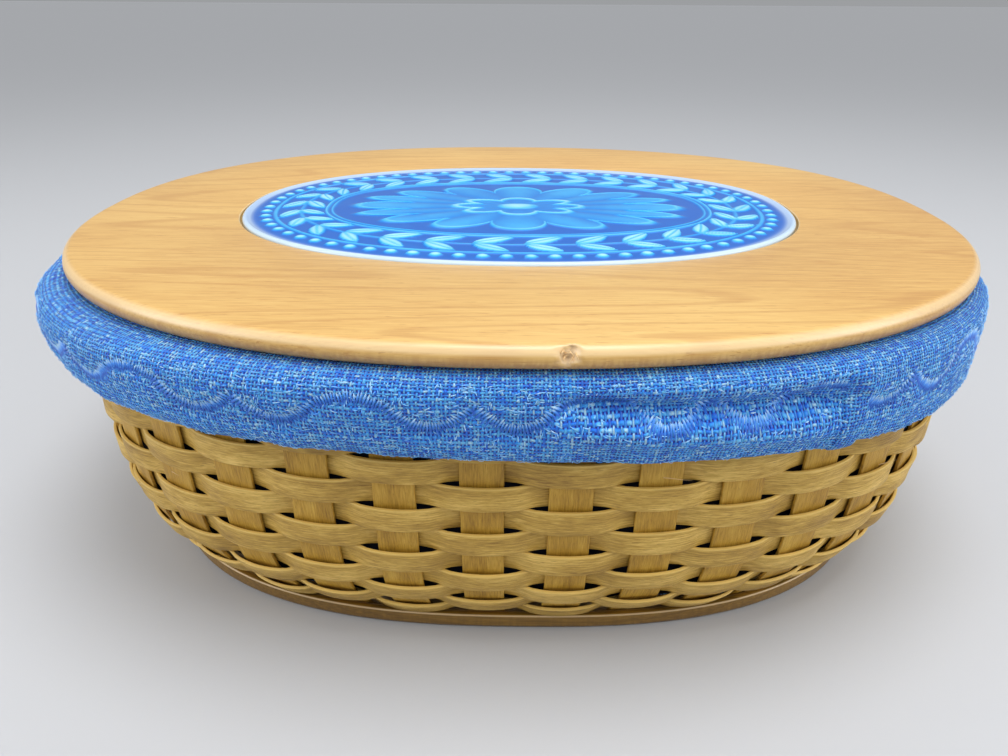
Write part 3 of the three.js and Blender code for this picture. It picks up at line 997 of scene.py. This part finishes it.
def cuff_path(spot):
    """Offset and height of the path's points where the rim's plan passes spot."""
    side = spot.x / RIM_HALF_LENGTH
    hem = rim_top - HEM_DEPTH - HEM_SKEW * side + 1.0 * MM * wander(spot, 30 * MM, 3)
    upright = smooth_step(0, 1, side)
    full = CUFF_BULGE - CUFF_BULGE_SKEW * side - 2.6 * MM * upright
    foot = 4.6 * MM + 0.25 * full
    fall = rim_top - hem
    return [
        # up the inside and over the rim
        (-5.7 * MM, rim_top - 8 * MM), (-5.7 * MM, rim_top - 1.5 * MM), (-3 * MM, rim_top + 0.9 * MM),
        (2.5 * MM, rim_top + 1.0 * MM), (0.7 * full, rim_top - 0.3 * MM),
        # down the front
        (0.95 * full, rim_top - 0.13 * fall), (full, rim_top - 0.32 * fall),
        ((0.93 + 0.05 * upright) * full, rim_top - 0.54 * fall),
        ((0.81 + 0.08 * upright) * full, rim_top - 0.77 * fall),
        # in under the hem and up behind it
        (foot, hem + 1.5 * MM), (foot - 1.6 * MM, hem + 0.4 * MM), (4.5 * MM, hem + 1.4 * MM),
        (4 * MM, hem + 8 * MM),
    ]


def on_path(points, t):
    """A smooth curve through the path's points, and its outward normal."""
    last = len(points) - 1
    i = min(int(t), last - 1)
    f = t - i
    p0, p1 = points[max(i - 1, 0)], points[i]
    p2, p3 = points[i + 1], points[min(i + 2, last)]

    def spline(a, b, c, d):
        square = 2 * a - 5 * b + 4 * c - d
        cube = 3 * b - a - 3 * c + d
        value = 0.5 * (2 * b + (c - a) * f + square * f ** 2 + cube * f ** 3)
        slope = 0.5 * ((c - a) + 2 * square * f + 3 * cube * f ** 2)
        return value, slope

    (r, dr), (z, dz) = (spline(*(p[k] for p in (p0, p1, p2, p3))) for k in (0, 1))
    size = math.hypot(dr, dz) or 1
    return r, z, -dz / size, dr / size


print("cuff path points:", len(cuff_path(rim.at(0)[0])))

# %% [markdown]
# ## Folds of the cuff
# Soft folds, small gathers above the elastic, a sagging fold at the front right and the pull of
# the stitched line are all added along the surface's own normal. Each is a small function of the
# way round the rim and the way along the path, so each can be changed alone.

# %% Cuff folds
CLOTH_THICKNESS = 1.2 * MM
PATH_STEP = 6.4 * MM  # along the cloth, from one point of the path to the next
WAVE_COUNT = 16
WAVE_LINE = 6.36  # along the path's points
WAVE_START = -13 * MM
WAVE_CUSP = -4.4 * MM
ARC_SHARE = 0.36  # of a wave, on either side of its start
ARC_DROP = 8 * MM
HUMP_RISE = 2.4 * MM
SEAM_PLACE = 104 * MM  # round the rim, from the middle of the front
CREASE_DEPTH = 4.8 * MM
CREASE_ROLL = 2.6 * MM


def wave_line(share):
    """Where the stitched line runs: two hanging arcs, then a round hump, over and over."""
    step = ((share - WAVE_START / rim.length) * WAVE_COUNT + 0.5) % 1 - 0.5
    if abs(step) < ARC_SHARE:
        level = WAVE_CUSP + ARC_DROP * abs(math.sin(math.pi * step / ARC_SHARE)) ** 0.8
    else:
        level = WAVE_CUSP - HUMP_RISE * math.cos(math.pi * (abs(step) - 0.5) / (1 - 2 * ARC_SHARE))
    return WAVE_LINE + level / PATH_STEP


def cuff_lift(spot, share, t):
    """How far the cloth stands off its smooth path."""
    puff = smooth_step(3.0, 5.0, t) * (1 - smooth_step(8.2, 9.6, t))
    folds = 1.4 * MM * wander(spot, 75 * MM, t * 0.12)
    ripples = 0.7 * MM * wander(spot, 26 * MM, t * 0.4)
    lift = puff * (folds + ripples)
    gather = smooth_step(6.6, 8.4, t) * (1 - smooth_step(9.6, 10.6, t))
    lift += gather * 0.6 * MM * wander(spot, 9 * MM, t * 0.1)
    pull = (t - wave_line(share)) / 0.45
    lift -= 1.0 * MM * math.exp(-pull * pull)
    return lift + crease_lift(share, t) + seam_lift(share, t)


def crease_lift(share, t):
    """A sagging fold on the right of the front: a valley above the stitches, a roll below."""
    travel = share * rim.length
    reach = smooth_step(4 * MM, 26 * MM, travel) * (1 - smooth_step(84 * MM, 104 * MM, travel))
    sink = 6 * (travel - 50 * MM)
    valley = math.exp(-((t - 5.85 - sink) / 0.62) ** 2)
    roll = math.exp(-((t - 7.3 - sink) / 0.6) ** 2)
    return reach * (CREASE_ROLL * roll - CREASE_DEPTH * valley)


def seam_lift(share, t):
    """The cloth rises a little over its overlapped ends."""
    lift = 0
    for place in (SEAM_PLACE, SEAM_PLACE + rim.length / 2):
        travel = (share * rim.length - place + rim.length / 2) % rim.length - rim.length / 2
        lift += smooth_step(-12 * MM, -4 * MM, travel) * (1 - smooth_step(0, 1.8 * MM, travel))
    return 0.7 * MM * lift * smooth_step(3.6, 4.8, t)


def cuff_spot(share, t, above=0.0):
    spot, out = rim.at(share)
    r, z, nr, nz = on_path(cuff_path(spot), t)
    lift = cuff_lift(spot, share, t) + above
    return spot + out * (r + nr * lift) + UP * (z + nz * lift)


print("cuff's front stands at", [round(part / MM, 1) for part in cuff_spot(0, WAVE_LINE)], "mm")

# %% [markdown]
# ## Laying the cloth
# The cuff is one strip of cloth. Its grid is laid along the path, all the way round the rim, and
# the strip is given a thickness, so it has an inside and an outside as real cloth has.

# %% Cuff
CUFF_COLUMNS = 800
CUFF_ROWS = 56
CUFF_WIDTH = 64 * MM
CUFF_LENGTH = 1.16


def cuff_place(u, v):
    return cuff_spot(u, (1 - v) * (CUFF_POINTS - 1))


cuff_shape = bent_grid(CUFF_COLUMNS, CUFF_ROWS, cuff_place, (CUFF_LENGTH, CUFF_WIDTH))
cuff = finished("cuff_cloth", cuff_shape)
thicken(cuff, CLOTH_THICKNESS, 0)
dress(cuff, cloth, "liner_cloth", "liner_cuff")
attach(cuff, "basket")
print("cuff area:", round(sum(face.area for face in cuff.data.polygons), 4), "square metres")

# %% [markdown]
# ## Cuff seams
# The strip is joined from two lengths, so there is an overlapped seam at the front right and one at
# the back left. Each shows as a narrow flap with a free edge, from under the lid to the hem.

# %% Cuff seams
SEAM_WIDTH = 8 * MM
SEAM_TOP = 4.4  # along the path's points
SEAM_FOOT = 9.5
SEAM_LENGTH = 36 * MM


def make_seam(name, place):
    def seam_place(u, v):
        share = (place + (u - 1) * SEAM_WIDTH) / rim.length
        ragged = 0.35 * MM * wander(UP * v, 0.06, place) / rim.length
        t = SEAM_FOOT + (SEAM_TOP - SEAM_FOOT) * v
        return cuff_spot(share + ragged, t, (0.45 + 0.45 * u) * MM)

    piece = finished(name, bent_grid(8, 48, seam_place, (SEAM_WIDTH, SEAM_LENGTH), False))
    thicken(piece, 0.8 * CLOTH_THICKNESS, SPLINT_EASE)
    dress(piece, cloth, "liner_cloth")
    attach(piece, "basket")
    return piece


seams = [
    make_seam("cuff_seam_front", SEAM_PLACE),
    make_seam("cuff_seam_back", SEAM_PLACE + rim.length / 2),
]
print("seams:", [seam.name for seam in seams])

# %% [markdown]
# ## Stitched wave
# A line of satin stitch runs round the cuff: two hanging arcs, a round hump, and so on, in thread
# of the same blue. Each stitch is a short thread across the line. One long grid makes them all:
# every third column of faces is deleted, and what is left between is one arched thread each, with
# its own length and lean.

# %% Wave stitches
STITCH_COUNT = 1240
STITCH_LENGTH = 5.4 * MM
STITCH_THREAD = 0.62 * MM
SLOPE_STEP = 0.0006  # of the way round


def random_stitch():
    """Length below the line, length above it and lean, for one stitch."""
    return dice.uniform(0.65, 1.25), dice.uniform(0.65, 1.25), dice.uniform(-0.35, 0.35)


stitch_shapes = [random_stitch() for _ in range(STITCH_COUNT)]


def stitch_place(u, v):
    column = round(u * 3 * STITCH_COUNT)
    number = column // 3 % STITCH_COUNT
    side = column % 3 - 1
    below, above, lean = stitch_shapes[number]
    middle = (number + 0.5) / STITCH_COUNT
    climbs = wave_line(middle + SLOPE_STEP) - wave_line(middle - SLOPE_STEP)
    slope = climbs * PATH_STEP / (2 * SLOPE_STEP * rim.length)
    size = math.hypot(1, slope)
    end = (v - 0.5) * 2
    reach = end * STITCH_LENGTH / 2 * (above if end > 0 else below)
    half = STITCH_THREAD / 2 * (1 - 0.7 * end ** 4)
    along = side * half + reach * slope / size + lean * end * MM
    down = side * half * slope - reach / size
    rise = 0.5 * MM * (1 - end ** 4) + (0.35 * MM if side == 0 else 0)
    t = wave_line(middle) + down / PATH_STEP
    return cuff_spot(middle + along / rim.length, t, rise + 0.5 * CLOTH_THICKNESS - 0.3 * MM)


def separate_threads(count, place, length):
    """Short threads from one long grid: every third column of its faces is deleted."""
    shape = bent_grid(3 * count, 4, place, (rim.length, length), False)
    uv = shape.loops.layers.uv["run"]
    spare = []
    for face in shape.faces:
        column = round(min(loop[uv].uv.x for loop in face.loops) / rim.length * 3 * count)
        if column % 3 == 2:
            spare.append(face)
    bmesh.ops.delete(shape, geom=spare, context="FACES")
    return shape


stitches = finished("wave_stitches", separate_threads(STITCH_COUNT, stitch_place, STITCH_LENGTH))


def thread_finish():
    finish, tree, shader = new_finish("stitch_thread", 0.5)
    each = stretched_noise(tree, run_map(tree), (1700, 30, 1), 1.0)
    # Painted highlight and shade: each stitch is pale at its upper end and darkest a little below its
    # middle, as if lit from above.
    shade = maths(tree, "ADD", attribute(tree, "level"), swing(tree, each, 0.9))
    blues = [(0.05, tone(70, 156, 244)), (0.32, tone(24, 88, 198)), (0.62, tone(66, 150, 246)),
             (1.0, tone(196, 234, 255))]
    paint(tree, shader, ramp(tree, shade, blues))
    shader.inputs["Sheen Weight"].default_value = 0.2
    return finish


dress(stitches, thread_finish(), "liner_cloth")
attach(stitches, "basket")
print("stitch faces:", len(stitches.data.polygons))

# %% [markdown]
# ## Loose fibres
# Slub cloth is hairy: short ends of thread lie across the weave and catch the light. They are made
# like the stitches, but each has its own place, length and direction, mostly along the threads.

# %% Loose fibres
FIBRE_COUNT = 7000
FIBRE_LENGTH = 1.7 * MM
FIBRE_WIDTH = 0.3 * MM


def random_fibre():
    turn = dice.choice((0, 0, 0, math.pi / 2, math.pi / 2)) + dice.uniform(-0.45, 0.45)
    return dice.random(), dice.uniform(4.3, 9.3), turn, FIBRE_LENGTH * dice.uniform(0.6, 1.5)


fibres = [random_fibre() for _ in range(FIBRE_COUNT)]


def fibre_place(u, v):
    column = round(u * 3 * FIBRE_COUNT)
    share, t, turn, length = fibres[column // 3 % FIBRE_COUNT]
    side = column % 3 - 1
    end = (v - 0.5) * 2
    half = FIBRE_WIDTH / 2 * side * (1 - 0.6 * end * end)
    along = end * length / 2 * math.cos(turn) - half * math.sin(turn)
    down = end * length / 2 * math.sin(turn) + half * math.cos(turn)
    rise = 0.32 * MM * (1 - end * end) + (0.14 * MM if side == 0 else 0)
    above = rise + 0.5 * CLOTH_THICKNESS - 0.05 * MM
    return cuff_spot(share + along / rim.length, t + down / PATH_STEP, above)


def fibre_finish():
    finish, tree, shader = new_finish("fibre_thread", 0.6)
    each = stretched_noise(tree, run_map(tree), (5000, 30, 1), 1.0)
    blues = [(0.35, tone(60, 150, 250)), (0.5, tone(120, 196, 255)), (0.65, tone(190, 228, 255))]
    paint(tree, shader, ramp(tree, each, blues))
    shader.inputs["Sheen Weight"].default_value = 0.2
    return finish


fuzz = finished("cuff_fibres", separate_threads(FIBRE_COUNT, fibre_place, FIBRE_LENGTH))
dress(fuzz, fibre_finish(), "liner_cloth")
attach(fuzz, "basket")
print("fibre faces:", len(fuzz.data.polygons))

# %% [markdown]
# ## Inside of the liner
# With the lid lifted the inside shows: a wall of the same cloth, a little slack, and a floor of
# cloth on the base board. Both are single sheets with soft wrinkles.

# %% Liner wall and floor
# Painted shade: the side of the liner wall that shows through the gaps in the weave is near-black, for
# the shadow behind the weave. The side inside the basket is the blue cloth.
painted_shade_back, _, painted_shade_back_shader = new_finish("cloth_back_painted_shade", 0.95)
painted_shade_back_shader.inputs["Base Color"].default_value = tone(16, 26, 52)
WALL_COLUMNS = 360
WALL_ROWS = 36
LINER_DEPTH = 4.5 * MM
LINER_RUN = (1.05, 0.12)  # metres of cloth round and up, for the weave
liner_low = 6.5 * MM
liner_top = rim_top - 8 * MM


def liner_place(u, v):
    spot, out = rim.at(u)
    height = liner_low + (liner_top - liner_low) * v
    slack = 0.9 * MM * max(0, wander(spot + UP * height, 34 * MM, 4)) * math.sin(math.pi * v)
    offset, level = wall_point(height, -LINER_DEPTH - slack, 0)
    return spot + out * offset + UP * level


liner_shape = bent_grid(WALL_COLUMNS, WALL_ROWS, liner_place, LINER_RUN)
liner_wall = finished("liner_wall_cloth", liner_shape)
thicken(liner_wall, CLOTH_THICKNESS, 0)
dress(liner_wall, painted_shade_back, "liner_cloth", "liner_wall")
liner_wall.data.materials.append(cloth)
liner_wall.modifiers["thickness"].material_offset = 1
liner_wall.modifiers["thickness"].material_offset_rim = 1
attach(liner_wall, "basket")

FLOOR_RINGS = 24
NEAR_MIDDLE = 30 * MM
floor_low, floor_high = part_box("liner_floor")
floor_edge = floor_high[0] - RIM_HALF_LENGTH


def floor_place(u, v):
    spot, out = rim.at(u)
    flat = (spot + out * floor_edge) * max(1 - v, 0.003)
    ripple = 0.25 * MM * wander(flat, 30 * MM, 2)
    return flat + UP * ((floor_low[2] + floor_high[2]) / 2 + ripple * math.sin(math.pi * v))


def make_liner_floor():
    shape = bent_grid(WALL_COLUMNS, FLOOR_RINGS, floor_place, (1, 1))
    inner = [e for e in shape.edges if e.is_boundary and e.verts[0].co.length < NEAR_MIDDLE]
    bmesh.ops.holes_fill(shape, edges=inner)
    uv = shape.loops.layers.uv["run"]
    for face in shape.faces:
        for loop in face.loops:
            loop[uv].uv = (loop.vert.co.x, loop.vert.co.y)
    return finished("liner_floor_cloth", shape)


liner_floor = make_liner_floor()
thicken(liner_floor, CLOTH_THICKNESS, 0)
dress(liner_floor, cloth, "liner_cloth", "liner_floor")
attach(liner_floor, "basket")
print("liner wall and floor made")

# %% [markdown]
# ## Pieces under the cuff
# The rim bands, their tacks and the elastic stay as the frame's own solids. They only get
# finishes: split wood, brass and a white knitted elastic.

# %% Hidden pieces
def plain_finish(name, colour, roughness, metallic, grain):
    finish, tree, shader = new_finish(name, roughness)
    place = object_place(tree)
    drift = stretched_noise(tree, place, grain, 3.0)
    pale = tuple(min(1, part * 1.25) for part in colour[:3]) + (1,)
    paint(tree, shader, ramp(tree, drift, [(0.35, colour), (0.65, pale)]))
    shader.inputs["Metallic"].default_value = metallic
    bump(tree, shader, drift, 0.3, 0.1 * MM)
    return finish


hidden = {
    "rim_outer_band": plain_finish("outer_band_wood", tone(186, 142, 80), 0.55, 0, (60, 60, 900)),
    "rim_inner_band": plain_finish("inner_band_wood", tone(186, 142, 80), 0.55, 0, (60, 60, 900)),
    "hem_elastic": plain_finish("knit_elastic", tone(226, 224, 216), 0.85, 0, (900, 900, 900)),
}
brass = plain_finish("tack_brass", tone(176, 140, 74), 0.35, 1.0, (700, 700, 700))
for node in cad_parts:
    if node.startswith("rim_tack"):
        hidden[node] = brass
for node, finish in hidden.items():
    mesh = bpy.data.objects[node].data
    mesh.materials.clear()
    mesh.materials.append(finish)
print("finished frame nodes:", sorted(hidden))

# %% [markdown]
# ## Splinters
# Split wood frays. A few pale slivers stand in the chip of the lid, and fine whiskers stand off the
# weavers. Each is a long thin cone, with its thick end in the wood that it came from.

# %% Splinters
SLIVER_COUNT = 9
SLIVER_TIP = 0.02 * MM
WHISKER_THICKNESS = 0.3 * MM
WHISKER_SHARES = (0.012, 0.034, 0.118, 0.871, 0.938, 0.41, 0.57, 0.66)


def sliver(shape, foot, direction, length, thickness):
    turn = direction.to_track_quat("Z", "Y").to_matrix().to_4x4()
    place = Matrix.Translation(foot + direction.normalized() * length / 2) @ turn
    bmesh.ops.create_cone(shape, cap_ends=True, segments=5, radius1=thickness / 2, radius2=SLIVER_TIP,
                          depth=length, matrix=place)


raw_wood, _, raw_shader = new_finish("raw_wood", 0.7)
raw_shader.inputs["Base Color"].default_value = tone(226, 192, 140)
chip_shape = bmesh.new()
for _ in range(SLIVER_COUNT):
    foot = CHIP_SPOT + Vector((dice.uniform(-2.6, 2.6), 1.2, dice.uniform(-1.2, 1.4))) * MM
    direction = Vector((dice.uniform(-0.6, 0.8), -0.5, dice.uniform(-0.5, 0.6)))
    sliver(chip_shape, foot, direction, dice.uniform(1.8, 3.2) * MM, dice.uniform(0.4, 0.9) * MM)
chip_slivers = finished("chip_slivers", chip_shape)
dress(chip_slivers, raw_wood, "lid_wood")
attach(chip_slivers, "lid")

whisker_shape = bmesh.new()
for number, share in enumerate(WHISKER_SHARES):
    row = 9 - number % 4
    near = round((share * rim.length - STAKE_SHIFT) / rim.length * STAKE_COUNT)
    near += (near + row) % 2
    spot, out = rim.at(STAKE_SHIFT / rim.length + near / STAKE_COUNT)
    offset, level = wall_point(row_heights[row], WEAVER_BOW, dice.uniform(-3, 3) * MM)
    along = Vector((-out.y, out.x, 0))
    direction = along * dice.choice((-1, 1)) + out * 0.3 + UP * dice.uniform(-0.3, 0.6)
    foot = spot + out * offset + UP * level
    sliver(whisker_shape, foot, direction, dice.uniform(6, 9) * MM, WHISKER_THICKNESS)
whiskers = finished("weaver_whiskers", whisker_shape)
dress(whiskers, raw_wood, "splint_weaver")
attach(whiskers, "basket")
print("slivers and whiskers:", len(chip_slivers.data.polygons), len(whiskers.data.polygons), "faces")

# %% [markdown]
# ## Overall size
# The box of the frame and the box of all shown pieces are kept side by side, and the
# finished size is printed.

visual_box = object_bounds()
sizes = {
    "cad": [list(map(float, corner)) for corner in cad_box],
    "visual": [list(map(float, corner)) for corner in visual_box],
}
print("visual size:", [round(h - l, 4) for l, h in zip(*sizes["visual"])])
